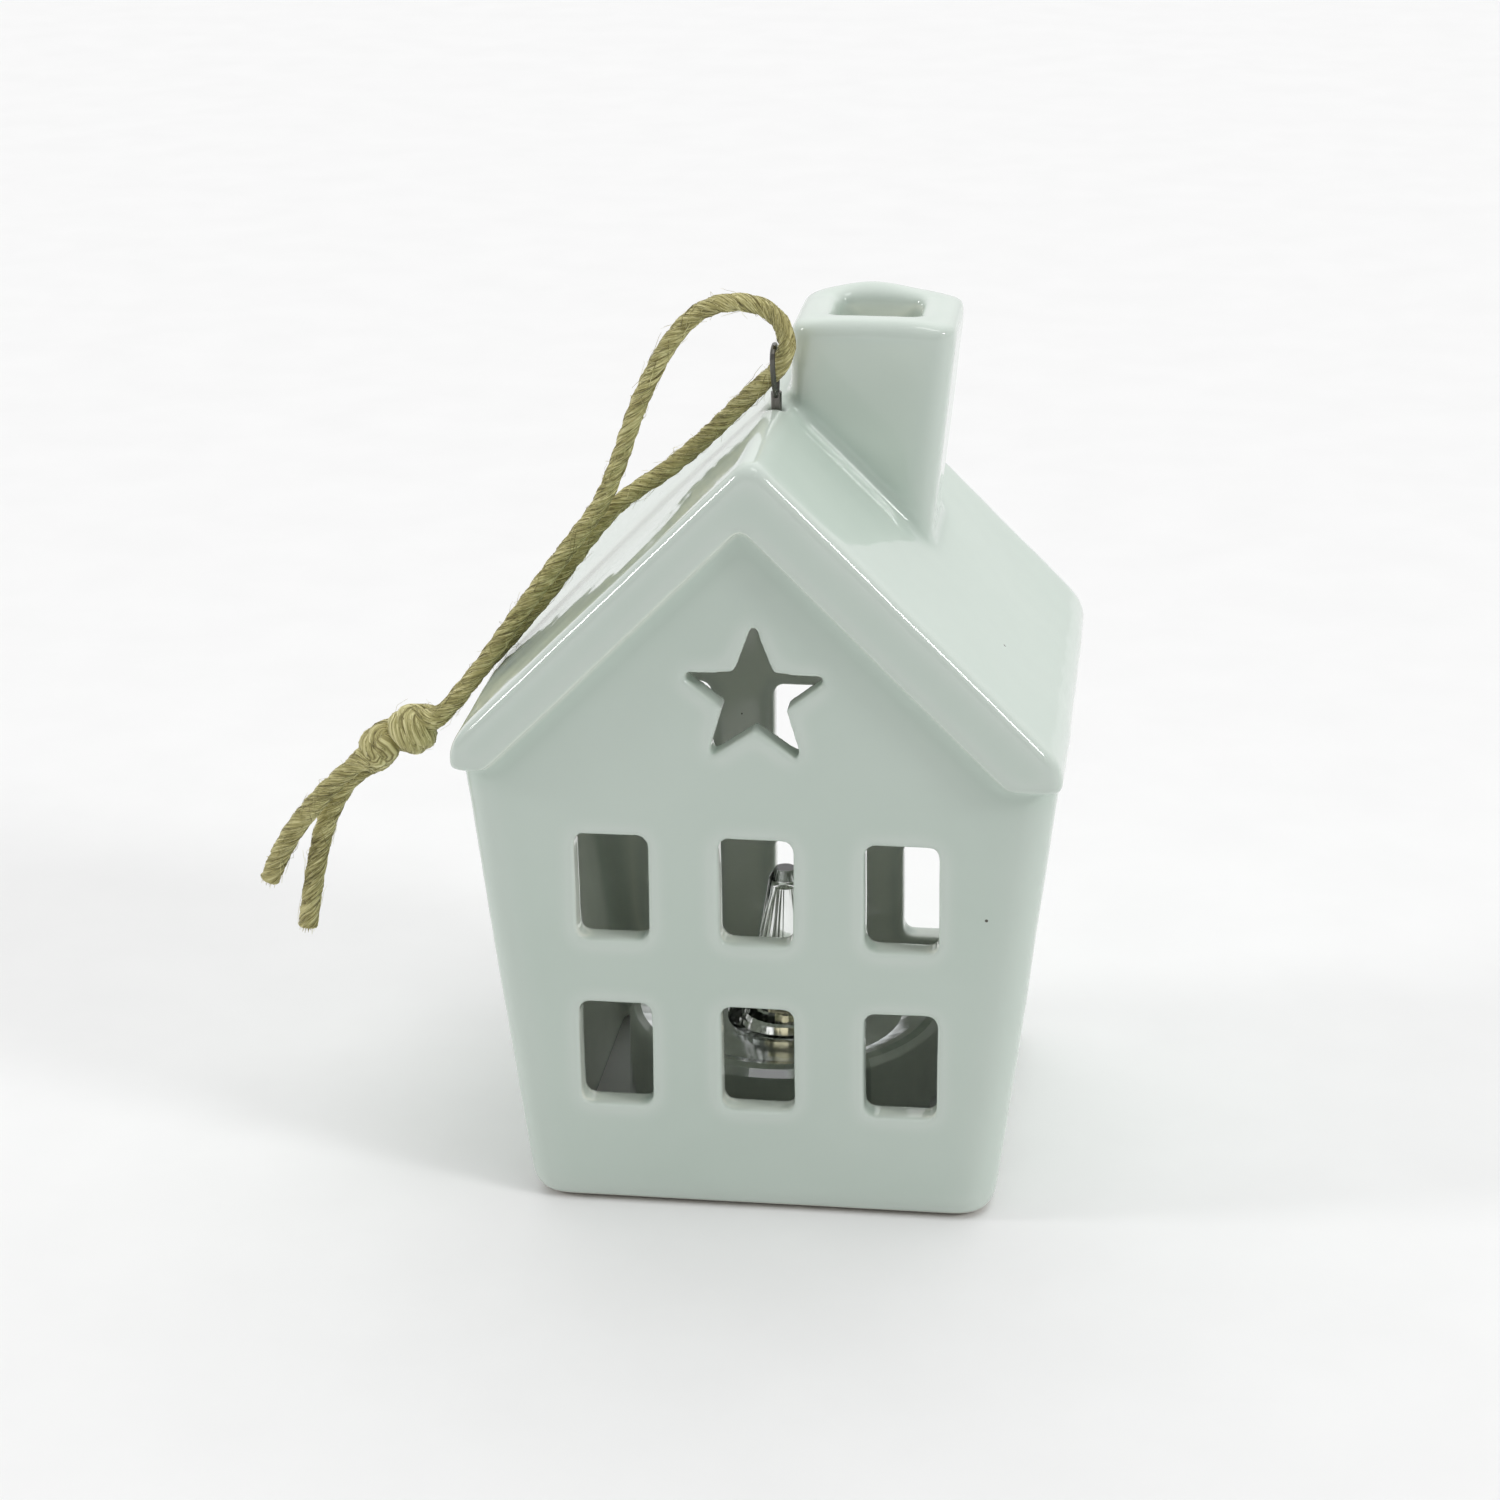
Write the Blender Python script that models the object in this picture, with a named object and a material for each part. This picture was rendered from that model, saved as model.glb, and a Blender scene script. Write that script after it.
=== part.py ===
"""Ceramic house tealight holder with a jute hanging loop and an LED tealight.

Metres, +Z up, front gable facing -Y.  The origin is the middle of the base, on the table.
"""
import math

import bmesh
import bpy
from mathutils import Vector

MM = 0.001
GAP = 0.3 * MM                    # clearance kept between neighbouring pieces

# House: walls that flare upwards, a 45 degree gable roof and a chimney.
BASE_HALF_WIDTH = 26.6 * MM
EAVE_WALL_HALF_WIDTH = 33.0 * MM
EAVE_WALL_Z = 53.0 * MM
WALL_HALF_DEPTH = 26.2 * MM
WALL_THICKNESS = 3.5 * MM
RIDGE_Z = 90.0 * MM
ROOF_HALF_WIDTH = 33.6 * MM
ROOF_HALF_DEPTH = 28.4 * MM
FASCIA_HEIGHT = 8.0 * MM          # at the apex, down to the recessed gable
FASCIA_LEAN = 1.0 * MM            # the recessed gable's apex sits this far left of the ridge
EAVE_END_HEIGHT = 3.2 * MM
ROOF_INNER_DROP = 5.3 * MM
CORNER_RADIUS = 4.0 * MM
BASE_EDGE_RADIUS = 2.2 * MM
ROOF_EDGE_RADIUS = 0.9 * MM
RIDGE_RADIUS = 1.8 * MM
EAVE_RADIUS = 5.0 * MM

CHIMNEY_LEFT = 1.2 * MM
CHIMNEY_RIGHT_LOW = 16.2 * MM
CHIMNEY_RIGHT_TOP = 19.8 * MM
CHIMNEY_FRONT = -4.0 * MM
CHIMNEY_BACK = 13.0 * MM
CHIMNEY_ROOT_Z = 64.0 * MM
CHIMNEY_TOP_Z = 98.5 * MM
CHIMNEY_CORNER_RADIUS = 2.6 * MM
FLUE_CENTRE = (10.4 * MM, 4.6 * MM)
FLUE_WIDTH = 9.4 * MM
FLUE_DEPTH = 9.0 * MM

WINDOW_WIDTH = 8.2 * MM
WINDOW_HEIGHT = 12.8 * MM
WINDOW_RADIUS = 1.1 * MM
WINDOW_PITCH = 16.1 * MM
WINDOW_ROWS = (19.1 * MM, 39.5 * MM)
STAR_Z = 62.35 * MM
STAR_TIP_RADIUS = 8.95 * MM
STAR_NOTCH_RADIUS = 3.65 * MM
STAR_TIP_ROUNDING = 0.55 * MM

# Wire eye in the ridge.
EYE_WIRE = 0.6 * MM
EYE_FOOT = Vector((0.0, -4.6, 90.0)) * MM
EYE_TOP = Vector((0.0, -6.2, 96.2)) * MM
EYE_HALF_WIDTH = 2.7 * MM
EYE_SOCKET_RADIUS = 0.95 * MM
EYE_SOCKET_BOTTOM_Z = 86.6 * MM

# Jute twine: two strands from the eye to the knot, then two bare tails.
TWINE_DIAMETER = 1.9 * MM
UPPER_STRAND = (
    (0.15, -5.5, 93.2), (0.95, -5.9, 94.6), (1.4, -6.4, 96.4), (1.0, -6.6, 98.4),
    (-0.4, -6.6, 100.1), (-2.9, -6.5, 100.95), (-6.1, -6.4, 100.7), (-8.9, -6.3, 99.2),
    (-11.6, -6.2, 96.1), (-14.2, -6.0, 91.3), (-16.1, -5.8, 86.7), (-17.8, -5.2, 82.0),
    (-20.0, -4.8, 77.1), (-22.95, -5.2, 72.95), (-26.45, -6.3, 68.35), (-30.65, -7.6, 62.55),
    (-34.0, -8.6, 57.9), (-36.7, -9.6, 54.5), (-39.0, -10.4, 52.6),
)
LOWER_STRAND = (
    (-0.15, -5.4, 92.9), (-1.9, -4.9, 91.2), (-4.2, -4.1, 88.8), (-7.0, -3.3, 85.9),
    (-10.2, -2.2, 82.7), (-13.2, -1.6, 80.1), (-16.1, -1.7, 78.1), (-18.9, -2.4, 75.9),
    (-21.9, -2.7, 72.3), (-25.8, -3.8, 67.1), (-30.2, -5.0, 61.8), (-34.1, -6.3, 57.55),
    (-36.6, -7.4, 54.6), (-38.8, -8.3, 52.3),
)
SHORT_TAIL = (
    (-47.3, -10.9, 47.6), (-50.2, -11.0, 45.2), (-53.2, -11.0, 42.0), (-56.0, -10.9, 38.4),
    (-57.8, -10.7, 35.4), (-59.5, -10.4, 31.8),
)
LONG_TAIL = (
    (-46.9, -8.6, 46.2), (-49.8, -8.3, 43.8), (-52.0, -8.3, 40.4), (-53.4, -8.5, 36.6),
    (-54.4, -8.7, 32.4), (-55.1, -8.9, 28.6), (-55.7, -9.0, 25.4),
)
KNOT_CENTRE = Vector((-43.3, -9.9, 49.9)) * MM
KNOT_HALF_SIZE = Vector((3.7, 2.9, 3.0)) * MM

# LED tealight under the house.
LIGHT_RADIUS = 19.0 * MM
LIGHT_HEIGHT = 14.4 * MM
SHELL = 1.1 * MM
FLAME_HOLE_RADIUS = 5.0 * MM
FLAME_TOP_Z = 31.5 * MM
BASE_PLATE_RADIUS = 17.4 * MM
BASE_PLATE_TOP = 2.0 * MM
DOOR_RADIUS = 11.6 * MM
DOOR_BOTTOM = 0.3 * MM
DOOR_TOP = 1.8 * MM
CELL_RADIUS = 10.0 * MM
CELL_BOTTOM = 2.9 * MM
CELL_THICKNESS = 3.2 * MM
SWITCH_Y = -14.4 * MM
SWITCH_SLOT = (7.0 * MM, 3.4 * MM)
SWITCH_KNOB = (3.4 * MM, 2.8 * MM)


def clear_scene():
    for item in list(bpy.data.objects):
        bpy.data.objects.remove(item)


def material(name, colour, roughness, metallic=0.0, transmission=0.0):
    """A Principled material in one colour."""
    made = bpy.data.materials.new(name)
    made.use_nodes = True
    shader = made.node_tree.nodes["Principled BSDF"]
    shader.inputs["Base Color"].default_value = (*colour, 1.0)
    shader.inputs["Roughness"].default_value = roughness
    shader.inputs["Metallic"].default_value = metallic
    shader.inputs["Transmission Weight"].default_value = transmission
    return made


def make_object(name, mesh_data, finish=None):
    """Put a bmesh or a mesh in the scene as a named object."""
    if isinstance(mesh_data, bmesh.types.BMesh):
        bmesh.ops.recalc_face_normals(mesh_data, faces=mesh_data.faces)
        mesh = bpy.data.meshes.new(name)
        mesh_data.to_mesh(mesh)
        mesh_data.free()
    else:
        mesh = mesh_data
    made = bpy.data.objects.new(name, mesh)
    bpy.context.collection.objects.link(made)
    if finish is not None:
        mesh.materials.append(finish)
    return made


def smooth(made, angle=40.0):
    made.data.shade_smooth()
    made.data.set_sharp_from_angle(angle=math.radians(angle))


def prism(outline, low, high, axis="Y"):
    """A closed outline of (across, up) points, extruded along Y or along Z."""
    mesh = bmesh.new()
    rings = []
    for level in (low, high):
        if axis == "Y":
            ring = [mesh.verts.new((a, level, b)) for a, b in outline]
        else:
            ring = [mesh.verts.new((a, b, level)) for a, b in outline]
        rings.append(ring)
    mesh.faces.new(rings[0])
    mesh.faces.new(reversed(rings[1]))
    count = len(outline)
    for i in range(count):
        j = (i + 1) % count
        mesh.faces.new((rings[0][i], rings[1][i], rings[1][j], rings[0][j]))
    bmesh.ops.recalc_face_normals(mesh, faces=mesh.faces)
    return mesh


def bevel_edges(mesh, chosen, radius, segments):
    edges = [edge for edge in mesh.edges if chosen(edge)]
    bmesh.ops.bevel(mesh, geom=edges, offset=radius, segments=segments,
                    affect="EDGES", profile=0.5, clamp_overlap=True)


def edge_middle(edge):
    return (edge.verts[0].co + edge.verts[1].co) / 2


def edge_along(edge, axis):
    """True where an edge runs mostly along the given axis index."""
    run = edge.verts[1].co - edge.verts[0].co
    return abs(run[axis]) > 0.9 * run.length


def cutter(name, mesh):
    """A hidden guide body that a Boolean adds or takes away."""
    made = make_object(name, mesh)
    made.hide_render = True
    made.display_type = "WIRE"
    return made


def boolean(target, other, operation):
    made = target.modifiers.new(other.name, "BOOLEAN")
    made.operation = operation
    made.object = other
    made.solver = "EXACT"


def turned(name, profile, finish, steps=48):
    """Revolve a closed outline of (radius, height) points about Z."""
    mesh = bmesh.new()
    columns = []
    for radius, height in profile:
        if radius == 0.0:
            columns.append([mesh.verts.new((0.0, 0.0, height))] * steps)
            continue
        ring = []
        for k in range(steps):
            turn = 2 * math.pi * k / steps
            ring.append(mesh.verts.new((radius * math.cos(turn), radius * math.sin(turn), height)))
        columns.append(ring)
    for i, ring in enumerate(columns):
        after = columns[(i + 1) % len(columns)]
        for k in range(steps):
            n = (k + 1) % steps
            corners = []
            for corner in (ring[k], ring[n], after[n], after[k]):
                if corner not in corners:
                    corners.append(corner)
            if len(corners) >= 3:
                mesh.faces.new(corners)
    made = make_object(name, mesh, finish)
    smooth(made)
    return made


def moved(made, offset):
    made.location = offset
    return made


# ---------------------------------------------------------------- house

def wall_block():
    """Outer walls with their gables, corners and bottom edge rounded."""
    shoulder = EAVE_WALL_HALF_WIDTH
    peak = RIDGE_Z - FASCIA_HEIGHT / 2
    outline = [(-BASE_HALF_WIDTH, 0.0), (BASE_HALF_WIDTH, 0.0), (shoulder, EAVE_WALL_Z),
               (0.0, peak), (-shoulder, EAVE_WALL_Z)]
    mesh = prism(outline, -WALL_HALF_DEPTH, WALL_HALF_DEPTH)
    bevel_edges(mesh, lambda e: edge_along(e, 2) and edge_middle(e).z < EAVE_WALL_Z, CORNER_RADIUS, 5)
    bevel_edges(mesh, lambda e: edge_middle(e).z < 1e-6, BASE_EDGE_RADIUS, 3)
    return make_object("ceramic_house", mesh)


def rounded_corner(before, corner, after, radius, steps):
    """Points of an arc that replaces a corner of an outline."""
    corner = Vector(corner)
    back = (Vector(before) - corner).normalized()
    ahead = (Vector(after) - corner).normalized()
    half = back.angle(ahead) / 2
    middle = corner + (back + ahead).normalized() * radius / math.sin(half)
    start = corner + back * radius / math.tan(half) - middle
    sweep = start.angle_signed(corner + ahead * radius / math.tan(half) - middle)
    arc = []
    for k in range(steps + 1):
        turn = -sweep * k / steps
        arc.append((middle.x + start.x * math.cos(turn) - start.y * math.sin(turn),
                    middle.y + start.x * math.sin(turn) + start.y * math.cos(turn)))
    return arc


def roof_outline():
    """Chevron of the roof slab, seen from the front, with rounded ridge and eaves."""
    top = RIDGE_Z - ROOF_HALF_WIDTH
    low = top - EAVE_END_HEIGHT
    inner = RIDGE_Z - FASCIA_HEIGHT
    ridge = (0.0, RIDGE_Z)
    right_eave, right_end = (ROOF_HALF_WIDTH, top), (ROOF_HALF_WIDTH, low)
    left_eave, left_end = (-ROOF_HALF_WIDTH, top), (-ROOF_HALF_WIDTH, low)
    return (rounded_corner(left_eave, ridge, right_eave, RIDGE_RADIUS, 3)
            + rounded_corner(ridge, right_eave, right_end, EAVE_RADIUS, 3)
            + [right_end, (inner - low - FASCIA_LEAN, low), (-FASCIA_LEAN, inner),
               (low - inner - FASCIA_LEAN, low), left_end]
            + rounded_corner(left_end, left_eave, ridge, EAVE_RADIUS, 3))


def roof_slab():
    """Roof with the edges of its front, back and eave ends rounded."""
    mesh = prism(roof_outline(), -ROOF_HALF_DEPTH, ROOF_HALF_DEPTH)
    low = RIDGE_Z - ROOF_HALF_WIDTH - EAVE_END_HEIGHT

    def outer(edge):
        """Edges of the front and back faces, apart from those of the recessed gable."""
        middle = edge_middle(edge)
        below_roof_plane = RIDGE_Z - abs(middle.x) - middle.z
        if abs(middle.x) > ROOF_HALF_WIDTH - GAP and edge_along(edge, 2):
            return True
        near_the_top = below_roof_plane < FASCIA_HEIGHT / 2 + GAP
        return near_the_top and middle.z > low + GAP and not edge_along(edge, 1)

    edges = [edge for edge in mesh.edges if outer(edge)]
    bmesh.ops.bevel(mesh, geom=edges, offset=ROOF_EDGE_RADIUS, segments=2, affect="EDGES",
                    profile=0.5, clamp_overlap=False)
    return cutter("roof_slab", mesh)


def chimney_block():
    """Square chimney whose right side leans out towards the top."""
    mesh = prism([(CHIMNEY_LEFT, CHIMNEY_ROOT_Z), (CHIMNEY_RIGHT_LOW, CHIMNEY_ROOT_Z),
                  (CHIMNEY_RIGHT_TOP, CHIMNEY_TOP_Z), (CHIMNEY_LEFT, CHIMNEY_TOP_Z)],
                 CHIMNEY_FRONT, CHIMNEY_BACK)
    bevel_edges(mesh, lambda e: edge_along(e, 2), CHIMNEY_CORNER_RADIUS, 3)
    bevel_edges(mesh, lambda e: edge_middle(e).z > CHIMNEY_TOP_Z - 1e-6, ROOF_EDGE_RADIUS, 2)
    return cutter("chimney_block", mesh)


def cavity():
    """Hollow for the tealight, open at the base and following walls and roof."""
    below = -2.0 * MM
    half = BASE_HALF_WIDTH - WALL_THICKNESS
    shoulder = EAVE_WALL_HALF_WIDTH - WALL_THICKNESS
    crest = RIDGE_Z - ROOF_INNER_DROP
    outline = [(-half, below), (half, below), (shoulder, EAVE_WALL_Z), (shoulder, crest - shoulder),
               (0.0, crest), (-shoulder, crest - shoulder), (-shoulder, EAVE_WALL_Z)]
    depth = WALL_HALF_DEPTH - WALL_THICKNESS
    mesh = prism(outline, -depth, depth)
    bevel_edges(mesh, lambda e: edge_along(e, 2), CORNER_RADIUS / 2, 3)
    return cutter("cavity", mesh)


def window_cutter(name, x, z):
    """One window, cut through the front and the back wall together."""
    w = WINDOW_WIDTH / 2
    h = WINDOW_HEIGHT / 2
    outline = [(x - w, z - h), (x + w, z - h), (x + w, z + h), (x - w, z + h)]
    mesh = prism(outline, -ROOF_HALF_DEPTH * 1.2, ROOF_HALF_DEPTH * 1.2)
    bevel_edges(mesh, lambda e: edge_along(e, 1), WINDOW_RADIUS, 3)
    return cutter(name, mesh)


def star_cutter():
    outline = []
    for k in range(10):
        radius = STAR_TIP_RADIUS if k % 2 == 0 else STAR_NOTCH_RADIUS
        turn = math.pi / 2 + k * math.pi / 5
        outline.append((radius * math.cos(turn), STAR_Z + radius * math.sin(turn)))
    mesh = prism(outline, -ROOF_HALF_DEPTH, -WALL_HALF_DEPTH / 2)
    reach = STAR_TIP_RADIUS * 0.9
    centre = Vector((0.0, 0.0, STAR_Z))
    bevel_edges(mesh, lambda e: edge_along(e, 1)
                and (Vector((edge_middle(e).x, 0.0, edge_middle(e).z)) - centre).length > reach,
                STAR_TIP_ROUNDING, 3)
    return cutter("star_cutter", mesh)


def flue_cutter():
    x, y = FLUE_CENTRE
    w = FLUE_WIDTH / 2
    d = FLUE_DEPTH / 2
    outline = [(x - w, y - d), (x + w, y - d), (x + w, y + d), (x - w, y + d)]
    mesh = prism(outline, CHIMNEY_ROOT_Z, CHIMNEY_TOP_Z + WALL_THICKNESS, axis="Z")
    bevel_edges(mesh, lambda e: edge_along(e, 2), WINDOW_RADIUS, 2)
    return cutter("flue_cutter", mesh)


def eye_socket_cutter():
    outline = []
    sides = 12
    for k in range(sides):
        turn = 2 * math.pi * k / sides
        outline.append((EYE_FOOT.x + EYE_SOCKET_RADIUS * math.cos(turn),
                        EYE_FOOT.y + EYE_SOCKET_RADIUS * math.sin(turn)))
    return cutter("eye_socket_cutter", prism(outline, EYE_SOCKET_BOTTOM_Z, RIDGE_Z + GAP * 3, axis="Z"))


def ceramic_house():
    """One slip-cast shell: walls, roof slab and chimney, with every opening cut."""
    house = wall_block()
    house.data.materials.append(material("white_glaze", (0.80, 0.82, 0.79), 0.12))
    boolean(house, roof_slab(), "UNION")
    boolean(house, chimney_block(), "UNION")
    boolean(house, cavity(), "DIFFERENCE")
    for row, z in enumerate(WINDOW_ROWS):
        for column in (-1, 0, 1):
            name = f"window_cutter_{row}_{column + 1}"
            boolean(house, window_cutter(name, column * WINDOW_PITCH, z), "DIFFERENCE")
    boolean(house, star_cutter(), "DIFFERENCE")
    boolean(house, flue_cutter(), "DIFFERENCE")
    boolean(house, eye_socket_cutter(), "DIFFERENCE")
    smooth(house, 30.0)


# ---------------------------------------------------------------- wire and twine

def tube(name, points, radius, finish, resolution=2, closed=False):
    """A round tube along points, with filled ends."""
    curve = bpy.data.curves.new(name, "CURVE")
    curve.dimensions = "3D"
    curve.bevel_depth = radius
    curve.bevel_resolution = resolution
    curve.use_fill_caps = True
    curve.render_resolution_u = 0
    spline = curve.splines.new("POLY")
    spline.points.add(len(points) - 1)
    for slot, place in zip(spline.points, points):
        slot.co = (*place, 1.0)
    spline.use_cyclic_u = closed
    made = bpy.data.objects.new(name, curve)
    bpy.context.collection.objects.link(made)
    curve.materials.append(finish)
    return made


def smooth_route(points, spacing):
    """Points at an even spacing on a Catmull-Rom curve through hand-placed ones, in metres."""
    knots = [Vector(p) * MM for p in points]
    knots = [2 * knots[0] - knots[1]] + knots + [2 * knots[-1] - knots[-2]]
    fine = []
    steps = 24
    for a, b, c, d in zip(knots, knots[1:], knots[2:], knots[3:]):
        for s in range(steps):
            t = s / steps
            fine.append(0.5 * (2 * b + (c - a) * t + (2 * a - 5 * b + 4 * c - d) * t ** 2
                               + (3 * b - a - 3 * c + d) * t ** 3))
    fine.append(knots[-2])
    length = sum((q - p).length for p, q in zip(fine, fine[1:]))
    count = max(2, round(length / spacing))
    even = [fine[0]]
    walked = 0.0
    target = length / count
    for p, q in zip(fine, fine[1:]):
        step = (q - p).length
        while walked + step >= target and len(even) < count:
            even.append(p.lerp(q, (target - walked) / step))
            target += length / count
        walked += step
    even.append(fine[-1])
    return even


def wire_eye(steel):
    """Teardrop of wire that lies along the ridge line, its foot set into the ridge."""
    steps = 28
    rise = EYE_TOP - EYE_FOOT
    points = []
    for k in range(steps + 1):
        turn = 2 * math.pi * k / steps
        up = (1 - math.cos(turn)) / 2
        width = EYE_HALF_WIDTH * math.sin(turn) * (0.35 + 0.65 * up)
        points.append(EYE_FOOT + rise * up + Vector((0.0, width, 0.0)))
    loop = tube("eye_loop_guide", points[:-1], EYE_WIRE / 2, steel, closed=True)
    stem = tube("wire_eye", [EYE_FOOT + Vector((0, 0, EYE_WIRE)),
                             Vector((EYE_FOOT.x, EYE_FOOT.y, EYE_SOCKET_BOTTOM_Z + GAP))],
                EYE_WIRE, steel)
    graph = bpy.context.evaluated_depsgraph_get()
    solids = {}
    for made in (loop, stem):
        solids[made.name] = bpy.data.meshes.new_from_object(made.evaluated_get(graph))
        bpy.data.objects.remove(made)
    guide = make_object("eye_loop_guide", solids["eye_loop_guide"])
    guide.hide_render = True
    guide.display_type = "WIRE"
    eye = make_object("wire_eye", solids["wire_eye"])
    boolean(eye, guide, "UNION")


def knot(jute):
    mesh = bmesh.new()
    bmesh.ops.create_icosphere(mesh, subdivisions=3, radius=1.0)
    for vert in mesh.verts:
        vert.co = Vector([a * b for a, b in zip(vert.co, KNOT_HALF_SIZE)]) + KNOT_CENTRE
    smooth(make_object("twine_knot", mesh, jute))


def twine():
    jute = material("jute", (0.36, 0.29, 0.15), 0.9)
    routes = {"twine_upper_strand": UPPER_STRAND, "twine_lower_strand": LOWER_STRAND,
              "twine_tail_long": LONG_TAIL, "twine_tail_short": SHORT_TAIL}
    for name, route in routes.items():
        tube(name, smooth_route(route, 2.1 * TWINE_DIAMETER), TWINE_DIAMETER / 2, jute)
    knot(jute)


# ---------------------------------------------------------------- LED tealight

def light_housing():
    """Open-bottomed round shell with a dished top and a hole for the flame lens."""
    r = LIGHT_RADIUS
    top = LIGHT_HEIGHT
    outer = [(r, 0.0), (r - 0.3 * MM, top - 1.2 * MM), (r - 0.8 * MM, top - 0.3 * MM),
             (r - 1.6 * MM, top), (r - 2.6 * MM, top - 0.2 * MM), (r - 5.0 * MM, top - 1.3 * MM),
             (FLAME_HOLE_RADIUS + 3.2 * MM, top - 1.8 * MM), (FLAME_HOLE_RADIUS, top - 1.8 * MM)]
    inner = [(FLAME_HOLE_RADIUS, top - 1.8 * MM - SHELL),
             (r - 5.0 * MM, top - 1.5 * MM - SHELL), (r - 2.2 * MM, top - 0.4 * MM - SHELL),
             (r - 1.4 * MM, top - 2.6 * MM), (r - SHELL, 0.0)]
    turned("tealight_housing", outer + inner, material("silver_plastic", (0.62, 0.64, 0.62), 0.25, 0.6), 56)


def flame_lens():
    """Hollow clear flame: a flared foot on the housing, tapering to a small flat tip."""
    seat = LIGHT_HEIGHT - 1.8 * MM + GAP
    outer = [(3.9 * MM, seat - 2.2 * MM), (FLAME_HOLE_RADIUS - GAP, seat - 2.2 * MM),
             (FLAME_HOLE_RADIUS - GAP, seat), (7.0 * MM, seat), (6.6 * MM, seat + 0.8 * MM),
             (5.2 * MM, seat + 2.0 * MM), (4.2 * MM, seat + 4.4 * MM), (3.5 * MM, seat + 8.0 * MM),
             (1.9 * MM, FLAME_TOP_Z - 1.2 * MM), (1.2 * MM, FLAME_TOP_Z), (0.0, FLAME_TOP_Z)]
    inner = [(0.0, FLAME_TOP_Z - 2.0 * MM), (0.9 * MM, FLAME_TOP_Z - 2.4 * MM),
             (2.6 * MM, seat + 8.0 * MM), (3.2 * MM, seat + 4.4 * MM), (3.9 * MM, seat + 2.0 * MM)]
    clear = material("clear_plastic", (0.95, 0.96, 0.95), 0.05, 0.0, 1.0)
    turned("flame_lens", outer + inner, clear, 32)


def led_lamp():
    base = LIGHT_HEIGHT - 3.4 * MM
    radius = 2.4 * MM
    profile = [(0.0, base), (radius + 0.4 * MM, base), (radius + 0.4 * MM, base + 1.0 * MM),
               (radius, base + 1.0 * MM), (radius, base + 4.0 * MM)]
    for k in range(1, 6):
        turn = math.pi / 2 * k / 6
        profile.append((radius * math.cos(turn), base + 4.0 * MM + radius * math.sin(turn)))
    profile.append((0.0, base + 4.0 * MM + radius))
    turned("led_lamp", profile, material("warm_lens", (0.95, 0.85, 0.55), 0.2, 0.0, 0.5), 24)


def led_leads():
    """Two bent legs: one to the top of the cell, one down beside it to the switch."""
    steel = material("tinned_wire", (0.75, 0.75, 0.74), 0.3, 1.0)
    start = LIGHT_HEIGHT - 3.4 * MM - GAP
    cell_top = CELL_BOTTOM + CELL_THICKNESS
    wire = 0.25 * MM
    x = 1.27 * MM
    tube("led_lead_positive", [Vector((x, 0, start)), Vector((x, 0, cell_top + 1.6 * MM)),
                               Vector((x + 1.2 * MM, 0, cell_top + wire + GAP)),
                               Vector((x + 5.0 * MM, 0, cell_top + wire + GAP))], wire, steel)
    beside = -(CELL_RADIUS + 1.2 * MM)
    tube("led_lead_negative", [Vector((-x, 0, start)), Vector((-x, 0, start - 1.2 * MM)),
                               Vector((-x, -2.0 * MM, start - 2.0 * MM)),
                               Vector((-x, beside, start - 2.4 * MM)),
                               Vector((-x, beside - 0.6 * MM, CELL_BOTTOM + 2.4 * MM))], wire, steel)


def coin_cell():
    top = CELL_BOTTOM + CELL_THICKNESS
    r = CELL_RADIUS
    step = 0.5 * MM
    turned("coin_cell", [(0.0, CELL_BOTTOM), (r - 1.2 * MM, CELL_BOTTOM), (r - 1.0 * MM, CELL_BOTTOM + step),
                         (r - 0.3 * MM, CELL_BOTTOM + step), (r, CELL_BOTTOM + 2 * step), (r, top - step / 2),
                         (r - step / 2, top), (0.0, top)],
           material("cell_steel", (0.70, 0.70, 0.69), 0.3, 1.0), 40)


def contact_spring():
    """Leaf under the cell, arched so that it presses on the cell's lower face."""
    thick = 0.2 * MM
    half = 7.0 * MM
    steps = 8
    low = DOOR_TOP + GAP
    lift = CELL_BOTTOM - GAP - thick - low
    lower = []
    for k in range(steps + 1):
        x = -half + 2 * half * k / steps
        lower.append((x, low + lift * math.sin(math.pi * k / steps)))
    upper = [(x, z + thick) for x, z in reversed(lower)]
    made = make_object("contact_spring", prism(lower + upper, -1.6 * MM, 1.6 * MM),
                       material("spring_brass", (0.72, 0.58, 0.32), 0.3, 1.0))
    smooth(made)


def base_plate():
    """Ring that closes the housing, with the door's hole and the switch's slot."""
    hole = DOOR_RADIUS + GAP
    made = turned("base_plate", [(hole, 0.0), (BASE_PLATE_RADIUS, 0.0), (BASE_PLATE_RADIUS, BASE_PLATE_TOP),
                                 (hole, BASE_PLATE_TOP)],
                  material("base_plastic", (0.75, 0.76, 0.74), 0.4), 48)
    w, d = (side / 2 for side in SWITCH_SLOT)
    outline = [(-w, SWITCH_Y - d), (w, SWITCH_Y - d), (w, SWITCH_Y + d), (-w, SWITCH_Y + d)]
    boolean(made, cutter("switch_slot_cutter", prism(outline, -MM, 2 * BASE_PLATE_TOP, axis="Z")),
            "DIFFERENCE")


def battery_door():
    """Round door with a coin groove, turned to open."""
    door = turned("battery_door", [(0.0, DOOR_BOTTOM), (DOOR_RADIUS, DOOR_BOTTOM), (DOOR_RADIUS, DOOR_TOP),
                                   (0.0, DOOR_TOP)],
                  material("door_plastic", (0.75, 0.76, 0.74), 0.4), 40)
    half = 6.0 * MM
    depth = DOOR_BOTTOM + 0.7 * MM
    outline = [(-half, -0.7 * MM), (half, -0.7 * MM), (half, 0.7 * MM), (-half, 0.7 * MM)]
    boolean(door, cutter("door_groove_cutter", prism(outline, -MM, depth, axis="Z")), "DIFFERENCE")


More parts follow.
